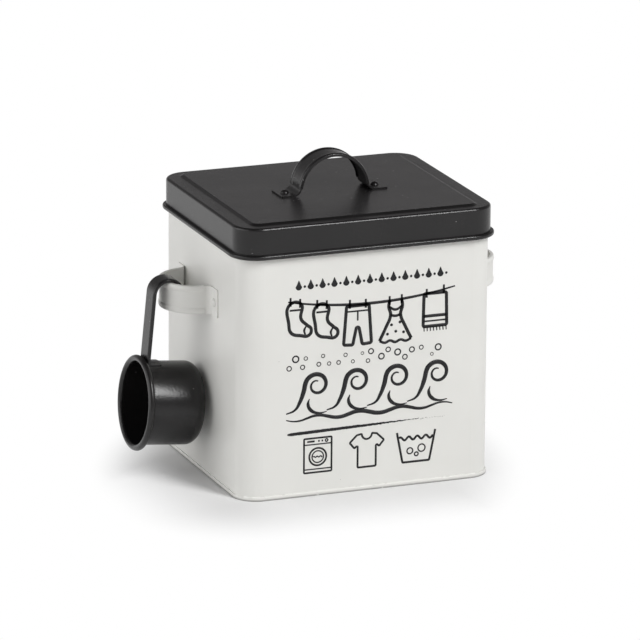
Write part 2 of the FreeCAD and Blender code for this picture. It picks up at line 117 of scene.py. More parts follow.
class StudioSettings(bpy.types.PropertyGroup):
    """Camera, lamps and floor."""

    azimuth: bpy.props.FloatProperty(
        name="Azimuth", description="Turn of the camera round the box", subtype="ANGLE",
        default=math.radians(-21.312))
    elevation: bpy.props.FloatProperty(
        name="Elevation", description="Height of the camera above the horizon", subtype="ANGLE",
        default=math.radians(16.083))
    roll: bpy.props.FloatProperty(
        name="Roll", description="Tilt of the camera about its own view", subtype="ANGLE",
        default=math.radians(0.382))
    distance: bpy.props.FloatProperty(
        name="Distance", description="From the camera to the point it looks at", unit="LENGTH",
        default=4.29593)
    lens: bpy.props.FloatProperty(
        name="Lens", description="Focal length in millimetres", default=338.12)
    shift: bpy.props.FloatProperty(
        name="Shift", description="Sideways shift of the lens, as a share of the picture",
        default=0.0090)
    sky: bpy.props.FloatVectorProperty(
        name="Sky", description="Colour of the room's light", subtype="COLOR", size=3, min=0, max=1,
        default=(1.0, 0.98, 0.985))
    room: bpy.props.FloatProperty(
        name="Room", description="Brightness of the room above the pale horizon", min=0, max=4,
        default=0.225)
    key: bpy.props.FloatProperty(
        name="Key lamp", description="Power of the tall lamp in front, on the right", min=0,
        default=48.5)
    left: bpy.props.FloatProperty(
        name="Left lamp", description="Power of the wide screen on the left", min=0, default=28.0)
    low: bpy.props.FloatProperty(
        name="Low lamp", description="Power of the low screen behind the left one", min=0,
        default=6.0)
    floor: bpy.props.FloatVectorProperty(
        name="Floor", description="Colour of the floor", subtype="COLOR", size=3, min=0, max=1,
        default=(0.80, 0.80, 0.80))


# ---------------------------------------------------------------- node trees and meshes

class Graph:
    """Adds nodes to a tree and links them, so that a tree reads as a list of steps."""

    def __init__(self, tree):
        self.tree = tree

    def add(self, kind, inputs=None, **settings):
        """A node with its settings, and its inputs by name or number: a socket is linked, a value
        is set."""
        node = self.tree.nodes.new(kind)
        for name, value in settings.items():
            setattr(node, name, value)
        for name, value in (inputs or {}).items():
            if isinstance(value, bpy.types.NodeSocket):
                self.tree.links.new(value, node.inputs[name])
            else:
                node.inputs[name].default_value = value
        return node

    def math(self, operation, *values, clamp=False):
        """The result of one sum, kept from 0 to 1 if clamp is set."""
        inputs = dict(enumerate(values))
        return self.add("ShaderNodeMath", inputs, operation=operation, use_clamp=clamp).outputs[0]

    def vector(self, operation, *values, output=0):
        """The result of one sum on vectors."""
        node = self.add("ShaderNodeVectorMath", dict(enumerate(values)), operation=operation)
        return node.outputs[output]

    def place(self):
        """Where a point lies, in the piece's own metres."""
        return self.add("ShaderNodeTexCoord").outputs["Object"]

    def noise(self, place, size, detail):
        """Soft patches about as wide as size."""
        inputs = {"Vector": place, "Scale": self.math("DIVIDE", 1.0, size), "Detail": detail}
        return self.add("ShaderNodeTexNoise", inputs).outputs[0]

    def ramp(self, value, low, high, to_low=0.0, to_high=1.0, smooth=False):
        """value taken from the range low to high into to_low to to_high, and held at its ends."""
        inputs = {"Value": value, "From Min": low, "From Max": high, "To Min": to_low, "To Max": to_high}
        kind = "SMOOTHSTEP" if smooth else "LINEAR"
        return self.add("ShaderNodeMapRange", inputs, interpolation_type=kind).outputs["Result"]


def tree_with(name, kind, inputs, outputs):
    """A node tree with named sockets, given as name: (socket type, default or None)."""
    tree = bpy.data.node_groups.new(name, kind)
    for side, sockets in (("INPUT", inputs), ("OUTPUT", outputs)):
        for label, (socket_type, default) in sockets.items():
            socket = tree.interface.new_socket(
                label, in_out=side, socket_type="NodeSocket" + socket_type)
            if default is not None:
                socket.default_value = default
    graph = Graph(tree)
    return graph, graph.add("NodeGroupInput").outputs, graph.add("NodeGroupOutput").inputs


def shaped(name, source, tree, **values):
    """The mesh that a tree makes from a source object, as a plain piece. The source is removed."""
    bpy.context.scene.collection.objects.link(source)
    modifier = source.modifiers.new("shape", "NODES")
    modifier.node_group = tree
    for item in tree.interface.items_tree:
        if item.in_out == "INPUT" and item.name.lower() in values:
            modifier[item.identifier] = values[item.name.lower()]
    evaluated = source.evaluated_get(bpy.context.evaluated_depsgraph_get())
    mesh = bpy.data.meshes.new_from_object(evaluated)
    mesh.name = name
    source.modifiers.remove(modifier)
    bpy.data.objects.remove(source)
    piece = bpy.data.objects.new(name, mesh)
    bpy.context.scene.collection.objects.link(piece)
    return piece


# ---------------------------------------------------------------- coats

TONE_LOW, TONE_HIGH = 0.35, 0.65        # the part of the tone's noise over which a coat drifts
PEEL_DEPTH = 0.13 * MM
DUST_SPACING, DUST_SIZE = 5.2 * MM, 0.27 * MM
LINT_COLOUR = (0.34, 0.335, 0.33)


def grain_group():
    """A powder coat's surface: orange peel on the pressed sheet's slow waves, and a drift of tone."""
    graph, given, result = tree_with(
        "Coat grain", "ShaderNodeTree",
        {"Grain": ("Float", 0.001), "Waviness": ("Float", 0.05)},
        {"Height": ("Float", None), "Tone": ("Float", None)})
    place = graph.place()
    peel = graph.noise(place, given["Grain"], 2.0)
    waves = graph.noise(place, given["Waviness"], 1.0)
    tone = graph.noise(place, given["Waviness"], 3.0)
    waves_share = 2.0
    height = graph.math("ADD", peel, graph.math("MULTIPLY", waves, waves_share))
    graph.tree.links.new(height, result["Height"])
    graph.tree.links.new(tone, result["Tone"])
    return graph.tree


class WearAndLightBand(NamedTuple):
    """A broken line along a coat at one height. It is used for wear on a rim, for a painted shadow at
    the box's foot and for a painted highlight along the base's foot ring.
    """

    height: float
    spread: float
    threshold: float
    amount: float
    colour: tuple


def wear_and_light_group():
    """The mask that each band of wear, painted shadow and painted highlight uses: a band round its
    height, kept where a noise is over its threshold.
    """
    graph, given, result = tree_with(
        "Rub marks", "ShaderNodeTree",
        {"Height": ("Float", 0.0), "Spread": ("Float", 0.001), "Threshold": ("Float", 0.5),
         "Patch": ("Float", 0.005), "Amount": ("Float", 0.5)},
        {"Mask": ("Float", None)})
    place = graph.place()
    up = graph.add("ShaderNodeSeparateXYZ", {0: place}).outputs["Z"]
    away = graph.math("ABSOLUTE", graph.math("SUBTRACT", up, given["Height"]))
    band = graph.math("SUBTRACT", 1.0, graph.math("DIVIDE", away, given["Spread"]), clamp=True)
    patches = graph.noise(place, given["Patch"], 4.0)
    softness = 0.1
    past = graph.math("SUBTRACT", patches, given["Threshold"])
    broken = graph.math("DIVIDE", past, softness, clamp=True)
    mask = graph.math("MULTIPLY", graph.math("MULTIPLY", band, broken), given["Amount"])
    graph.tree.links.new(mask, result["Mask"])
    return graph.tree


def dust_group():
    """Sparse specks of powder and lint on a coat."""
    graph, given, result = tree_with(
        "Dust specks", "ShaderNodeTree",
        {"Spacing": ("Float", 0.006), "Size": ("Float", 0.00025), "Share": ("Float", 0.2)},
        {"Mask": ("Float", None)})
    scale = graph.math("DIVIDE", 1.0, given["Spacing"])
    cells = graph.add("ShaderNodeTexVoronoi", {"Vector": graph.place(), "Scale": scale})
    reach = graph.math("DIVIDE", given["Size"], given["Spacing"])
    inside = graph.math("LESS_THAN", cells.outputs["Distance"], reach)
    lot = graph.add("ShaderNodeSeparateColor", {0: cells.outputs["Color"]}).outputs[0]
    chosen = graph.math("LESS_THAN", lot, given["Share"])
    graph.tree.links.new(graph.math("MULTIPLY", inside, chosen), result["Mask"])
    return graph.tree


def material(name):
    """An empty node material with its Principled BSDF: (material, graph, shader)."""
    made = bpy.data.materials.new(name)
    made.use_nodes = True
    made.node_tree.nodes.clear()
    graph = Graph(made.node_tree)
    shader = graph.add("ShaderNodeBsdfPrincipled")
    graph.add("ShaderNodeOutputMaterial", {"Surface": shader.outputs["BSDF"]})
    return made, graph, shader


def grouped(graph, tree, **inputs):
    """A shader group's outputs, with its inputs given by name."""
    named = {name.title(): value for name, value in inputs.items()}
    return graph.add("ShaderNodeGroup", named, node_tree=tree).outputs


def mixed(graph, mask, colour, other):
    """colour where the mask is 0 and the other where it is 1."""
    first, second, result = 6, 7, 2     # the Mix node's colour sockets
    node = graph.add("ShaderNodeMix", {"Factor": mask}, data_type="RGBA")
    for number, value in ((first, colour), (second, other)):
        if isinstance(value, bpy.types.NodeSocket):
            graph.tree.links.new(value, node.inputs[number])
        else:
            node.inputs[number].default_value = (*value, 1)
    return node.outputs[result]


def shaded(colour, share):
    """The same colour at a share of its brightness."""
    return [channel * share for channel in colour]


def coat(name, colour, groups, roughness, specular, peel, drift, wear_and_light_bands, dust_share):
    """A satin powder coat of one colour, with its grain, dust, and bands at set heights: wear, painted
    shadow and painted highlight.
    """
    sizes = bpy.context.scene.laundry_coats
    made, graph, shader = material(name)
    grain = grouped(graph, groups["grain"], grain=sizes.grain, waviness=sizes.waviness)
    tone = graph.ramp(grain["Tone"], TONE_LOW, TONE_HIGH)
    base = mixed(graph, tone, shaded(colour, 1 - drift), colour)
    # Bands of wear, painted shadow and painted highlight, each laid over the coat's colour.
    for wear_and_light in wear_and_light_bands:
        band = grouped(graph, groups["wear_and_light"], height=wear_and_light.height, spread=wear_and_light.spread,
                       threshold=wear_and_light.threshold, amount=wear_and_light.amount)
        base = mixed(graph, band["Mask"], base, wear_and_light.colour)
    dust = grouped(graph, groups["dust"], spacing=DUST_SPACING, size=DUST_SIZE, share=dust_share)
    base = mixed(graph, dust["Mask"], base, LINT_COLOUR)
    graph.tree.links.new(base, shader.inputs["Base Color"])
    shader.inputs["Roughness"].default_value = roughness
    shader.inputs["Specular IOR Level"].default_value = specular
    bump = graph.add("ShaderNodeBump", {
        "Height": grain["Height"], "Strength": peel, "Distance": PEEL_DEPTH})
    graph.tree.links.new(bump.outputs["Normal"], shader.inputs["Normal"])
    return made


class LAUNDRY_OT_coats(bpy.types.Operator):
    """Gives every sheet-metal piece its powder coat"""

    bl_idname = "laundry.coats"
    bl_label = "Powder coats"

    def execute(self, context):
        sizes = context.scene.laundry_coats
        groups = {"grain": grain_group(), "wear_and_light": wear_and_light_group(), "dust": dust_group()}
        foot_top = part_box("box_base")[1].z
        # Painted shadow: a dark, nearly unbroken line along the bottom of the white coat, where the box
        # stands on the floor.
        painted_contact_shadow = WearAndLightBand(height=0.0, spread=0.0017, threshold=0.25, amount=0.9, colour=(0.08, 0.077, 0.073))
        # Painted highlight: a light, broken line along the top edge of the base's foot ring.
        painted_foot_highlight = WearAndLightBand(height=foot_top, spread=0.0009, threshold=0.37, amount=0.55,
                        colour=(0.95, 0.95, 0.92))
        worn_bead = WearAndLightBand(height=LID_LOW.z, spread=0.0012, threshold=0.52, amount=0.55,
                        colour=(0.09, 0.088, 0.086))
        coats = {
            WHITE: coat("White powder coat", sizes.white, groups, roughness=0.42, specular=0.40,
                        peel=0.07, drift=0.025, wear_and_light_bands=(painted_contact_shadow, painted_foot_highlight), dust_share=0.03),
            BLACK: coat("Black powder coat", sizes.black, groups, roughness=0.27, specular=0.38,
                        peel=0.85, drift=0.25, wear_and_light_bands=(worn_bead,), dust_share=0.45),
        }
        for node, piece in frame["nodes"].items():
            piece.data.materials.clear()
            piece.data.materials.append(coats[NODE_SLOT[node]])
        return {"FINISHED"}


# ---------------------------------------------------------------- ink

INK_NAME = "Black print"
INK_PATCH = 1 / 260                     # width of a patch where the ink lies thin, in metres
INK_RELIEF = 0.02 * MM


class Stroke(NamedTuple):
    """A line of ink. Its points are (across, up, width) in millimetres on the front wall."""

    points: list
    closed: bool = False
    straight: bool = False


def ink_material():
    """Black screen ink, greyer and duller in the patches where it lies thin."""
    made, graph, shader = material(INK_NAME)
    colour = bpy.context.scene.laundry_print.ink
    greyer, smooth, dull = 1.7, 0.42, 0.56
    patches = graph.noise(graph.place(), INK_PATCH, 5.0)
    thin = mixed(graph, graph.ramp(patches, 0.4, 0.7), colour, shaded(colour, greyer))
    graph.tree.links.new(thin, shader.inputs["Base Color"])
    graph.tree.links.new(graph.ramp(patches, 0.3, 0.7, smooth, dull), shader.inputs["Roughness"])
    shader.inputs["Specular IOR Level"].default_value = 0.3
    bump = graph.add("ShaderNodeBump", {"Height": patches, "Strength": 0.2, "Distance": INK_RELIEF})
    graph.tree.links.new(bump.outputs["Normal"], shader.inputs["Normal"])
    return made


def print_tree(name, sizes):
    """A geometry tree with named sizes and the ink to print with."""
    return tree_with(
        name, "GeometryNodeTree",
        {"Geometry": ("Geometry", None), **sizes, "Ink": ("Material", None)},
        {"Geometry": ("Geometry", None)})


def on_the_wall(graph, flat, ink):
    """From a drawing in millimetres, flat on XY with the film's top at +Z, to the front wall."""
    upright = graph.add("GeometryNodeTransform", {
        "Geometry": flat, "Translation": (0, WALL_LOW.y, 0), "Rotation": (math.pi / 2, 0, 0),
        "Scale": (MM, MM, MM)})
    real = graph.add("GeometryNodeRealizeInstances", {0: upright.outputs[0]}).outputs[0]
    return graph.add("GeometryNodeSetMaterial", {"Geometry": real, "Material": ink}).outputs[0]


def swept(graph, curve, width, height, **inputs):
    """A flat curve swept with a level rectangle."""
    level = graph.add("GeometryNodeSetCurveNormal", {"Curve": curve}, mode="Z_UP").outputs[0]
    slab = graph.add("GeometryNodeCurvePrimitiveQuadrilateral", {"Width": width, "Height": height})
    named = {"Curve": level, "Profile Curve": slab.outputs[0], **inputs}
    return graph.add("GeometryNodeCurveToMesh", named).outputs[0]


def stroke_tree():
    """Ink along curves: a flat film, as wide at each point as the curve's radius says."""
    graph, given, result = print_tree("Ink strokes", {"Film": ("Float", 0.08), "Corner": ("Float", 0.0)})
    rounded = graph.add("GeometryNodeFilletCurve", {
        "Curve": given["Geometry"], "Radius": given["Corner"], "Count": 4, "Limit Radius": True},
        mode="POLY").outputs[0]
    width = graph.add("GeometryNodeInputRadius").outputs[0]
    ribbon = swept(graph, rounded, 1.0, 1.0, **{"Scale": width, "Fill Caps": True})
    # The film's faces lie at z = 0 and z = film, whatever the stroke's width.
    spot = graph.add("GeometryNodeInputPosition").outputs[0]
    parts = graph.add("ShaderNodeSeparateXYZ", {0: spot}).outputs
    height = graph.math("MULTIPLY", graph.math("GREATER_THAN", parts["Z"], 0.0), given["Film"])
    flat_spot = graph.add("ShaderNodeCombineXYZ", {"X": parts["X"], "Y": parts["Y"], "Z": height})
    film = graph.add("GeometryNodeSetPosition", {"Geometry": ribbon, "Position": flat_spot.outputs[0]})
    graph.tree.links.new(on_the_wall(graph, film.outputs[0], given["Ink"]), result["Geometry"])
    return graph.tree


def row_tree():
    """A flat drawing repeated in a level row."""
    graph, given, result = print_tree("Ink row", {
        "Count": ("Int", 3), "Pitch": ("Float", 9.0), "Start": ("Vector", (0, 0, 0))})
    step = graph.add("ShaderNodeCombineXYZ", {"X": given["Pitch"]}).outputs[0]
    places = graph.add("GeometryNodeMeshLine", {
        "Count": given["Count"], "Start Location": given["Start"], "Offset": step})
    row = graph.add("GeometryNodeInstanceOnPoints", {
        "Points": places.outputs[0], "Instance": given["Geometry"]})
    graph.tree.links.new(on_the_wall(graph, row.outputs[0], given["Ink"]), result["Geometry"])
    return graph.tree


def bubble_tree():
    """Rings of many sizes, scattered over a strip and kept apart."""
    graph, given, result = print_tree("Ink bubbles", {
        "Width": ("Float", 100.0), "Depth": ("Float", 10.0), "Gap": ("Float", 6.0),
        "Radius": ("Float", 2.0), "Smallest": ("Float", 0.45), "Pen": ("Float", 0.9),
        "Film": ("Float", 0.08), "Centre": ("Vector", (0, 0, 0)), "Seed": ("Int", 1)})
    strip = graph.add("GeometryNodeMeshGrid", {
        "Size X": given["Width"], "Size Y": given["Depth"], "Vertices X": 2, "Vertices Y": 2})
    spots = graph.add("GeometryNodeDistributePointsOnFaces", {
        "Mesh": strip.outputs[0], "Distance Min": given["Gap"], "Density Max": 1.0,
        "Seed": given["Seed"]}, distribute_method="POISSON")
    rim = graph.add("GeometryNodeCurvePrimitiveCircle", {"Radius": given["Radius"], "Resolution": 28})
    bubble = swept(graph, rim.outputs[0], given["Pen"], given["Film"])
    size = graph.add("FunctionNodeRandomValue", {
        "Min": given["Smallest"], "Max": 1.0, "Seed": given["Seed"]}, data_type="FLOAT")
    size_socket = next(socket for socket in size.outputs if socket.enabled)
    rings = graph.add("GeometryNodeInstanceOnPoints", {
        "Points": spots.outputs[0], "Instance": bubble, "Scale": size_socket})
    placed = graph.add("GeometryNodeTransform", {
        "Geometry": rings.outputs[0], "Translation": given["Centre"]})
    graph.tree.links.new(on_the_wall(graph, placed.outputs[0], given["Ink"]), result["Geometry"])
    return graph.tree


INK_TREES = {"strokes": stroke_tree, "row": row_tree, "bubbles": bubble_tree}


def ink_tree(kind):
    """The tree of that kind, built when it is first asked for."""
    return bpy.data.node_groups.get("Ink " + kind) or INK_TREES[kind]()


def printed(name, source, kind, **values):
    """A piece of print on the box's body, made from its source object by a tree of that kind."""
    ink = bpy.data.materials.get(INK_NAME) or ink_material()
    piece = shaped(name, source, ink_tree(kind), ink=ink, **values)
    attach(piece, "box")


def drawn(name, strokes, corner=0.0):
    """A piece of print from its strokes."""
    data = bpy.data.curves.new(name, "CURVE")
    data.dimensions = "3D"
    for stroke in strokes:
        spline = data.splines.new("POLY" if stroke.straight else "BEZIER")
        knots = spline.points if stroke.straight else spline.bezier_points
        knots.add(len(stroke.points) - 1)
        for knot, (across, up, width) in zip(knots, stroke.points):
            knot.radius = width
            if stroke.straight:
                knot.co = (across, up, 0, 1)
            else:
                knot.co = (across, up, 0)
                knot.handle_left_type = knot.handle_right_type = "AUTO"
        spline.use_cyclic_u = stroke.closed
        spline.resolution_u = 10
    source = bpy.data.objects.new(name + "_lines", data)
    printed(name, source, "strokes", film=bpy.context.scene.laundry_print.film, corner=corner)


def flat_mesh(outlines):
    """Closed slabs of ink from outlines that run anticlockwise, from z = 0 up to the film's height."""
    film = bpy.context.scene.laundry_print.film
    spots, faces = [], []
    for outline in outlines:
        first, count = len(spots), len(outline)
        spots += [(x, y, 0) for x, y in outline] + [(x, y, film) for x, y in outline]
        faces.append([first + count + i for i in range(count)])
        faces.append([first + count - 1 - i for i in range(count)])
        for i in range(count):
            after = (i + 1) % count
            faces.append([first + i, first + after, first + count + after, first + count + i])
    mesh = bpy.data.meshes.new("ink_slabs")
    mesh.from_pydata(spots, [], faces)
    return mesh


def filled(name, outlines, **row):
    """A piece of print from filled outlines, once or in a row."""
    source = bpy.data.objects.new(name + "_outlines", flat_mesh(outlines))
    printed(name, source, "row", **{"count": 1, **row})


def circle(across, up, radius, steps):
    """Points round a circle, anticlockwise."""
    turns = [2 * math.pi * i / steps for i in range(steps)]
    return [(across + radius * math.cos(turn), up + radius * math.sin(turn)) for turn in turns]


def line(points, width, closed=False, straight=True):
    """A stroke of one width."""
    return Stroke([(x, y, width) for x, y in points], closed, straight)


def ring(across, up, radius, width, steps=40):
    """A round stroke."""
    return line(circle(across, up, radius, steps), width, closed=True)


def tapered(brush, ends, middle, done):
    """The width of a stroke part of the way along it: shares of the brush at its ends and its middle."""
    return brush * (ends + (middle - ends) * math.sin(math.pi * done))


def moved(stroke, across, up):
    """The same stroke in another place."""
    return stroke._replace(points=[(x + across, y + up, width) for x, y, width in stroke.points])


def drop_outline(height, radius, steps=28):
    """A drop on its round foot: a circle whose upper half is drawn in and up to a point."""
    drawn_in, sharpness = 0.55, 3
    spots = []
    for x, y in circle(0, 0, radius, steps):
        rise = max(y / radius, 0)
        spots.append((x * (1 - drawn_in * rise), radius + y + (height - 2 * radius) * rise ** sharpness))
    return spots


class LAUNDRY_OT_drops(bpy.types.Operator):
    """Prints the small row of drops and dots along the top"""

    bl_idname = "laundry.drops"
    bl_label = "Row of drops"

    def execute(self, context):
        count, pitch, middle = 13, 8.9, 2.6
        drop_height, drop_radius, dot_radius, dot_steps = 7.2, 2.4, 0.95, 16
        drop = drop_outline(drop_height, drop_radius)
        dot = circle(pitch / 2, drop_radius, dot_radius, dot_steps)
        start = (middle - pitch * (count - 0.5) / 2, context.scene.laundry_print.border_height, 0)
        filled("print_drops", [drop, dot], count=count, pitch=pitch, start=start)
        return {"FINISHED"}


LINE_HALF, LINE_SAG, LINE_MIDDLE = 63.0, 6.5, 2.0


def line_up(across, ends):
    """How high the washing line hangs at a place across the wall."""
    return ends - LINE_SAG * (1 - ((across - LINE_MIDDLE) / LINE_HALF) ** 2)


def sock(brush):
    """A sock, hung by its cuff, toe to the right."""
    outline = [(-4.2, -1), (4.2, -1), (4.4, -12), (8.5, -16.5), (12, -20), (10.5, -24.2), (4, -24),
               (-3, -21.5), (-4.8, -15)]
    toe = [(8.2, -17.5, brush * 0.5), (6.8, -20.5, brush * 0.7), (7.6, -23.6, brush * 0.5)]
    return [line(outline, brush, closed=True, straight=False),
            line([(-4.2, -5.2), (4.2, -5.2)], brush * 0.6), Stroke(toe)]


def trousers(brush):
    """Trousers, hung by the waistband, with their fly."""
    outline = [(-8.5, -1), (8.5, -1), (10.5, -29), (3.6, -29.5), (0, -12), (-3.6, -29.5), (-10.5, -29)]
    fine = brush * 0.5
    return [line(outline, brush, closed=True), line([(-8.6, -5), (8.6, -5)], fine),
            line([(0, -5), (0, -12)], fine)]


def dress(brush):
    """A dotted dress, hung by its shoulder straps."""
    side = [(4.6, 0), (5.2, -4.5), (3.8, -10.5), (7.5, -20), (12, -29)]
    hem = [(12, -29), (8, -30.6), (4, -29.4), (0, -30.8), (-4, -29.4), (-8, -30.6), (-12, -29)]
    neckline = [(-5.2, -4.5, brush * 0.7), (0, -7, brush * 0.8), (5.2, -4.5, brush * 0.7)]
    waist = [(-3.8, -10.8), (0, -11.6), (3.8, -10.8)]
    dots = ((-3, -18), (3.4, -16.5), (-6, -24.5), (0.3, -23), (6.2, -24))
    dot_radius, dot_pen = 0.55, 1.1
    return [*(line([(sign * x, y) for x, y in side], brush, straight=False) for sign in (1, -1)),
            line(hem, brush * 0.8, straight=False), Stroke(neckline),
            line(waist, brush * 0.8, straight=False),
            *(ring(x, y, dot_radius, dot_pen, steps=10) for x, y in dots)]


def towel(brush):
    """A towel with two stripes and a fringe."""
    strokes = [line([(-8.5, -1), (8.5, -1), (9, -25), (-9, -25)], brush, closed=True)]
    for up, share in ((-17.5, 0.95), (-21.2, 0.5)):
        strokes.append(line([(-8.8, up), (8.8, up)], brush * share))
    tassels, half = 8, 8.4
    for i in range(tassels):
        x = -half + 2 * half * i / (tassels - 1)
        strokes.append(line([(x, -25), (x + 0.3, -28.6)], brush * 0.34))
    return strokes


class Garment(NamedTuple):
    """What hangs on the line, how far its pegs sit from its middle and how round its corners are."""

    name: str
    strokes: Callable
    across: float
    pegs_out: float
    corner: float


GARMENTS = (Garment("sock_left", sock, -55.6, 3.6, 0.0), Garment("sock_right", sock, -35.6, 3.6, 0.0),
            Garment("trousers", trousers, -8.6, 6.0, 1.2), Garment("dress", dress, 20.0, 4.6, 0.0),
            Garment("towel", towel, 50.0, 6.5, 1.2))


class LAUNDRY_OT_washing_line(bpy.types.Operator):
    """Prints the washing line with the laundry that hangs on it"""

    bl_idname = "laundry.washing_line"
    bl_label = "Washing line"

    def execute(self, context):
        sizes = context.scene.laundry_print
        ends, brush = sizes.line_height, sizes.brush
        left, right = LINE_MIDDLE - LINE_HALF, LINE_MIDDLE + LINE_HALF
        stations = 13
        rope = []
        for i in range(stations):
            done = i / (stations - 1)
            across = left + (right - left) * done
            rope.append((across, line_up(across, ends), tapered(brush, 0.35, 0.70, done)))
        drawn("print_rope", [Stroke(rope)])

        cloth_brush = brush * 0.78
        pegs = []
        for garment in GARMENTS:
            up = line_up(garment.across, ends)
            strokes = [moved(stroke, garment.across, up) for stroke in garment.strokes(cloth_brush)]
            drawn("print_" + garment.name, strokes, garment.corner)
            pegs += [self.peg(garment.across + sign * garment.pegs_out, ends) for sign in (-1, 1)]
        filled("print_pegs", pegs)
        return {"FINISHED"}

    @staticmethod
    def peg(across, ends):
        """A peg that straddles the line, narrower at its top."""
        over, under, half, top_half = 3.4, 3.0, 0.9, 0.72
        top, low = line_up(across, ends) + over, line_up(across, ends) - under
        return [(across - half, low), (across + half, low), (across + top_half, top),
                (across - top_half, top)]


def wave(across, up, reach, radius, brush):
    """One breaking wave: its back climbs from the trough, its crest curls over into a spiral, and its
    hollow front runs down to the next trough."""
    crest_height, crest_start, turns, steps = 19.0, math.radians(152), 1.22, 30
    widest, width_lost, radius_lost = 1.15, 0.85, 0.66
    centre_x, centre_y = across + reach, up + crest_height
    curl = []
    for i in range(steps + 1):
        done = i / steps
        angle = crest_start - 2 * math.pi * turns * done
        size = radius * (1 - radius_lost * done)
        width = brush * (widest - width_lost * done)
        curl.append((centre_x + size * math.cos(angle), centre_y + size * math.sin(angle), width))
    first_x, first_y, _ = curl[0]
    lean_power, climb_power = 0.62, 1.7
    back = [(across + (first_x - across) * done ** lean_power,
             up + (first_y - up) * done ** climb_power, brush * share)
            for done, share in ((0.0, 0.3), (0.25, 0.55), (0.5, 0.85), (0.75, 1.1))]
    hollow = [(-5.6, -9.5, 0.2), (-6.6, -13.5, 0.75), (-4.4, -18.0, 0.85), (1.6, -20.6, 0.5),
              (7.5, -20.0, 0.2)]
    front = [(centre_x + x, centre_y + y, brush * share) for x, y, share in hollow]
    return Stroke(back + curl), Stroke(front)


class LAUNDRY_OT_waves(bpy.types.Operator):
    """Prints the row of breaking waves, the swell under it and the bubbles above it"""

    bl_idname = "laundry.waves"
    bl_label = "Waves and bubbles"

    def execute(self, context):
        sizes = context.scene.laundry_print
        brush, base = sizes.brush, sizes.wave_height
        count, pitch, left = 4, 30.5, -62.0
        rollers = [wave(left + pitch * i, base, reach=23.0, radius=8.8, brush=brush)
                   for i in range(count)]
        drawn("print_waves", [stroke for pair in rollers for stroke in pair])

        stations, overrun, below, rise = 25, 4.0, 4.6, 1.5
        swell = []
        for i in range(stations):
            done = i / (stations - 1)
            across = left + (pitch * count + overrun) * done
            up = base - below + rise * math.sin(2 * math.pi * count * done + math.pi)
            swell.append((across, up, tapered(brush, 0.25, 1.0, done)))
        drawn("print_swell", [Stroke(swell)])

        above = 36.5
        centre = (left + pitch * count / 2, base + above, sizes.film / 2)
        finer = sizes.pen * 0.8
        source = bpy.data.objects.new("bubble_source", bpy.data.meshes.new("bubble_source"))
        printed("print_bubbles", source, "bubbles", width=118.0, depth=7.0, gap=6.5, radius=2.3,
                pen=finer, film=sizes.film, centre=centre, seed=sizes.seed)
        return {"FINISHED"}


class LAUNDRY_OT_rule(bpy.types.Operator):
    """Prints the dry-brushed rule that thins out and breaks up towards the right"""

    bl_idname = "laundry.rule"
    bl_label = "Dry-brushed rule"

    def execute(self, context):
        sizes = context.scene.laundry_print
        chance = random.Random(sizes.seed)
        left, whole_end, flecks_end = -61.0, 38.0, 58.0
        rise, thickness, thinnest = 1.9, 2.3, 0.18
        blunt, run_in, stations = 0.45, 0.05, 110
        smoothest, rougher = 0.06, 0.16
        upper, lower = [], []
        for i in range(stations):
            done = i / (stations - 1)
            across = left + (whole_end - left) * done
            middle = sizes.rule_height + rise * done
            start = min(blunt + done / run_in, 1)
            half = thickness * start * max(1 - done ** 3, thinnest) / 2
            rough = smoothest + rougher * done
            upper.append((across, middle + half + chance.uniform(-rough, rough)))
            lower.append((across, middle - half + chance.uniform(-rough, rough)))
        length, tallness, stray, gap = (1.2, 4.0), (0.18, 0.75), 0.45, (0.15, 1.6)
        flecks = []
        across = whole_end
        while across < flecks_end:
            done = (across - left) / (flecks_end - left)
            long = chance.uniform(*length) * (1.25 - done)
            tall = chance.uniform(*tallness) * (1.3 - done)
            up = sizes.rule_height + rise * done + chance.uniform(-stray, stray)
            flecks.append([(across, up), (across + long, up - tall * 0.3), (across + long, up + tall),
                           (across + long * 0.3, up + tall * 0.9)])
            across += long + chance.uniform(*gap) * done
        filled("print_rule", [lower + upper[::-1], *flecks])
        return {"FINISHED"}


def waterline(half, up, ripple, turn, start, steps):
    """Points along a rippled line, which turns through its ripples by so much at each step."""
    return [(half * (2 * i / steps - 1), up + ripple * math.sin(start + turn * i))
            for i in range(steps + 1)]


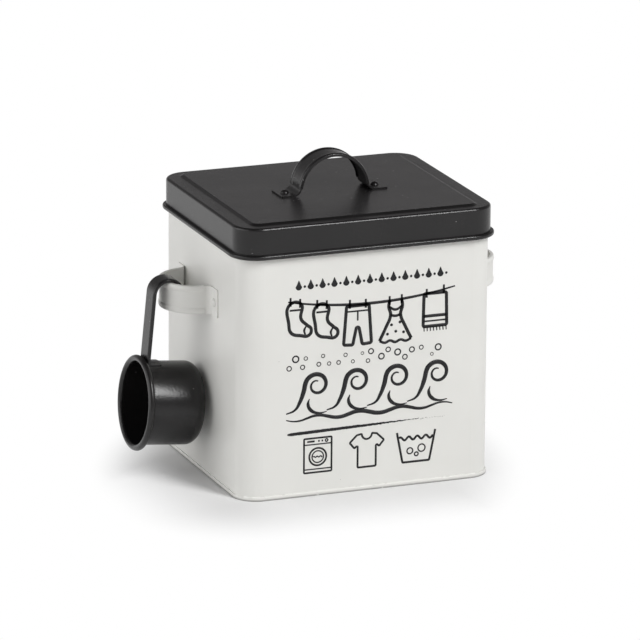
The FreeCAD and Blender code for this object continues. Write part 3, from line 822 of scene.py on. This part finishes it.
class LAUNDRY_OT_pictograms(bpy.types.Operator):
    """Prints the washing machine, the shirt and the wash tub"""

    bl_idname = "laundry.pictograms"
    bl_label = "Pictograms"

    def execute(self, context):
        sizes = context.scene.laundry_print
        pen, foot = sizes.pen, sizes.pictogram_height
        for name, across, strokes in (
                ("machine", -38.0, self.machine(pen)), ("shirt", -0.9, self.shirt(pen * 1.1)),
                ("tub", 36.6, self.tub(pen * 1.2))):
            drawn("print_" + name, [moved(stroke, across, foot) for stroke in strokes], corner=0.7)
        return {"FINISHED"}

    @staticmethod
    def machine(pen):
        """Front of a washing machine: panel, door with a waterline, and plinth."""
        half, high, panel, plinth = 10.4, 25.2, 20.6, 2.4
        door, door_radius, glass_radius = 11.4, 6.4, 4.3
        buttons, knob_across, knob_radius = (panel + high) / 2, 6.6, 0.95
        fine = pen * 0.7
        return [
            line([(-half, 0), (half, 0), (half, high), (-half, high)], pen, closed=True),
            line([(-half, panel), (half, panel)], fine), line([(-half, plinth), (half, plinth)], fine),
            ring(0, door, door_radius, pen), ring(0, door, glass_radius, fine),
            line(waterline(3.6, door, ripple=0.5, turn=1.5, start=0, steps=12), fine),
            ring(knob_across, buttons, knob_radius, fine),
            *(line([(start, buttons), (end, buttons)], pen)
              for start, end in ((-8, -2.4), (0.2, 1.4), (2.8, 4))),
        ]

    @staticmethod
    def shirt(pen):
        """A T-shirt laid flat."""
        shoulder, neck_half, neck_depth, steps = 24.6, 3.9, 4.2, 8
        side = [(7.6, 23.9), (13, 18.7), (9.4, 14.4), (6.9, 16.6), (6.9, 0)]
        neck = [(-neck_half * math.cos(math.pi * i / steps),
                 shoulder - neck_depth * math.sin(math.pi * i / steps)) for i in range(steps + 1)]
        return [line(neck + side + [(-x, y) for x, y in reversed(side)], pen, closed=True)]

    @staticmethod
    def tub(pen):
        """A wash tub full of water and suds."""
        rim, base, high = 14.6, 10.2, 22.4
        water = waterline(12.9, 17.6, ripple=1.3, turn=math.pi / 4, start=0.6, steps=32)
        suds = ((-4.6, 8.2, 2.2), (0.4, 5.4, 1.4), (4.3, 9.6, 2.7))
        return [line([(-rim, high), (-base, 0), (base, 0), (rim, high)], pen), line(water, pen),
                *(ring(x, y, radius, pen * 0.62) for x, y, radius in suds)]


# ---------------------------------------------------------------- studio

AIM = Vector((-9.27, 0, 103.36)) * MM       # the point that the camera looks at


class Lamp(NamedTuple):
    """A soft lamp in the shape of a rectangle, aimed at the middle of the box."""

    name: str
    place: tuple
    size: tuple


LAMPS = (Lamp("key", (0.80, -1.7, 1.85), (0.60, 1.3)), Lamp("left", (-2.4, 0, 1.2), (3.0, 2.4)),
         Lamp("low", (-2.0, 0.6, 0.5), (2.0, 0.9)))


class LAUNDRY_OT_studio(bpy.types.Operator):
    """Sets out the floor, the lamps, the sky and the camera"""

    bl_idname = "laundry.studio"
    bl_label = "Studio"

    def execute(self, context):
        sizes = context.scene.laundry_studio
        self.make_floor(context, sizes)
        self.make_sky(context, sizes)
        for lamp in LAMPS:
            self.make_lamp(context, lamp, power=getattr(sizes, lamp.name))
        self.make_camera(context, sizes)
        context.scene.view_settings.view_transform = "Standard"
        return {"FINISHED"}

    def make_floor(self, context, sizes):
        """A sheet of white paper that takes the box's shade and is plain white farther off."""
        half = 6.0
        mesh = bpy.data.meshes.new("floor")
        corners = [(-half, -half, 0), (half, -half, 0), (half, half, 0), (-half, half, 0)]
        mesh.from_pydata(corners, [], [(0, 1, 2, 3)])
        made, graph, shader = material("Floor")
        graph.tree.links.new(self.paper(graph, sizes.floor), shader.inputs["Base Color"])
        shader.inputs["Roughness"].default_value = 0.9
        shader.inputs["Specular IOR Level"].default_value = 0.1
        path = graph.add("ShaderNodeLightPath").outputs
        seen = graph.math("MAXIMUM", path["Is Camera Ray"], path["Is Glossy Ray"])
        seen = graph.math("MAXIMUM", seen, path["Is Transmission Ray"])
        share = graph.math("MULTIPLY", seen, self.far_share(graph))
        white = graph.add("ShaderNodeEmission", {"Color": (1, 1, 1, 1), "Strength": 1.0})
        blend = graph.add("ShaderNodeMixShader", {0: share, 1: shader.outputs[0], 2: white.outputs[0]})
        output = next(node for node in graph.tree.nodes if node.type == "OUTPUT_MATERIAL")
        graph.tree.links.new(blend.outputs[0], output.inputs["Surface"])
        mesh.materials.append(made)
        floor = bpy.data.objects.new("floor", mesh)
        context.scene.collection.objects.link(floor)

    @staticmethod
    def paper(graph, colour):
        """The paper's colour, a little darker in soft patches."""
        patch, darker = 0.025, 0.985
        return mixed(graph, graph.noise(graph.place(), patch, 3.0), shaded(colour, darker), colour)

    @staticmethod
    def far_share(graph):
        """How white the paper looks: not at all at the box's foot, and wholly a hand's breadth away from
        it or outside an oval of shade, which lies askew round the box."""
        shade_width = 0.09
        oval_centre, oval_turn, oval_half = (-0.023, -0.024, 0), math.radians(-21), (0.157, 0.214, 1)
        oval_core = 0.60
        place, foot = graph.place(), (WALL_HIGH.x, WALL_HIGH.y, 0)
        past = graph.vector("SUBTRACT", graph.vector("ABSOLUTE", place), foot)
        away = graph.vector("LENGTH", graph.vector("MAXIMUM", past, (0, 0, 0)), output="Value")
        away = graph.ramp(away, 0.0, shade_width, smooth=True)
        oval = graph.add("ShaderNodeMapping", {
            "Vector": place, "Location": oval_centre, "Rotation": (0, 0, oval_turn),
            "Scale": oval_half}, vector_type="TEXTURE")
        out = graph.vector("LENGTH", oval.outputs[0], output="Value")
        return graph.math("MAXIMUM", away, graph.ramp(out, oval_core, 1.0, smooth=True))

    def make_sky(self, context, sizes):
        """A pale horizon that fades into a dim room, darkest overhead."""
        horizon, overhead = 0.65, 0.2                   # brightness
        room_from, dims_from, dims_to = 0.30, 0.5, 0.8  # heights, as sines of the angle up
        world = bpy.data.worlds.new("Studio")
        world.use_nodes = True
        world.node_tree.nodes.clear()
        graph = Graph(world.node_tree)
        way = graph.add("ShaderNodeTexCoord").outputs["Generated"]
        up = graph.add("ShaderNodeSeparateXYZ", {0: way}).outputs["Z"]
        level = graph.ramp(up, 0.0, room_from, horizon, sizes.room, smooth=True)
        level = graph.math("MULTIPLY", level, graph.ramp(up, dims_from, dims_to, 1.0, overhead))
        sky = graph.add("ShaderNodeBackground", {"Color": (*sizes.sky, 1), "Strength": level})
        graph.add("ShaderNodeOutputWorld", {"Surface": sky.outputs[0]})
        context.scene.world = world

    def make_lamp(self, context, lamp, power):
        """One lamp, which the camera doesn't see."""
        data = bpy.data.lights.new(lamp.name, "AREA")
        data.shape = "RECTANGLE"
        data.size, data.size_y = lamp.size
        data.energy = power
        placed = bpy.data.objects.new(lamp.name, data)
        placed.location = lamp.place
        placed.visible_camera = False
        middle = Vector((0, 0, WALL_HIGH.z / 2))
        placed.rotation_euler = (middle - placed.location).to_track_quat("-Z", "Y").to_euler()
        context.scene.collection.objects.link(placed)

    def make_camera(self, context, sizes):
        """A long lens that looks down on the box's front from its left."""
        azimuth, elevation = sizes.azimuth, sizes.elevation
        level = math.cos(elevation)
        back = Vector((math.sin(azimuth) * level, -math.cos(azimuth) * level, math.sin(elevation)))
        data = bpy.data.cameras.new("camera")
        data.lens = sizes.lens
        data.sensor_width = 36
        data.shift_x = sizes.shift
        data.clip_start, data.clip_end = 0.1, 50
        camera = bpy.data.objects.new("camera", data)
        turn = (-back).to_track_quat("-Z", "Y").to_matrix() @ Matrix.Rotation(sizes.roll, 3, "Z")
        camera.matrix_world = Matrix.LocRotScale(AIM + back * sizes.distance, turn.to_quaternion(), None)
        context.scene.collection.objects.link(camera)
        context.scene.camera = camera


# ---------------------------------------------------------------- add-on

STEPS = (LAUNDRY_OT_coats, LAUNDRY_OT_drops, LAUNDRY_OT_washing_line, LAUNDRY_OT_waves, LAUNDRY_OT_rule,
         LAUNDRY_OT_pictograms, LAUNDRY_OT_studio)
GROUPS = {"laundry_coats": CoatSettings, "laundry_print": PrintSettings,
          "laundry_studio": StudioSettings}


class LAUNDRY_PT_panel(bpy.types.Panel):
    """Lists the steps and the sizes that they read"""

    bl_idname = "LAUNDRY_PT_panel"
    bl_label = "Laundry powder box"
    bl_space_type = "VIEW_3D"
    bl_region_type = "UI"
    bl_category = "Laundry box"

    def draw(self, context):
        for step in STEPS:
            self.layout.operator(step.bl_idname)
        for name, group in GROUPS.items():
            box = self.layout.box()
            for size in group.__annotations__:
                box.prop(getattr(context.scene, name), size)


CLASSES = (*GROUPS.values(), *STEPS, LAUNDRY_PT_panel)


def register():
    for item in CLASSES:
        bpy.utils.register_class(item)
    for name, group in GROUPS.items():
        setattr(bpy.types.Scene, name, bpy.props.PointerProperty(type=group))


def unregister():
    for name in GROUPS:
        delattr(bpy.types.Scene, name)
    for item in reversed(CLASSES):
        bpy.utils.unregister_class(item)


def main():
    register()
    for step in STEPS:
        area, name = step.bl_idname.split(".")
        getattr(getattr(bpy.ops, area), name)()


if __name__ == "__main__":
    main()
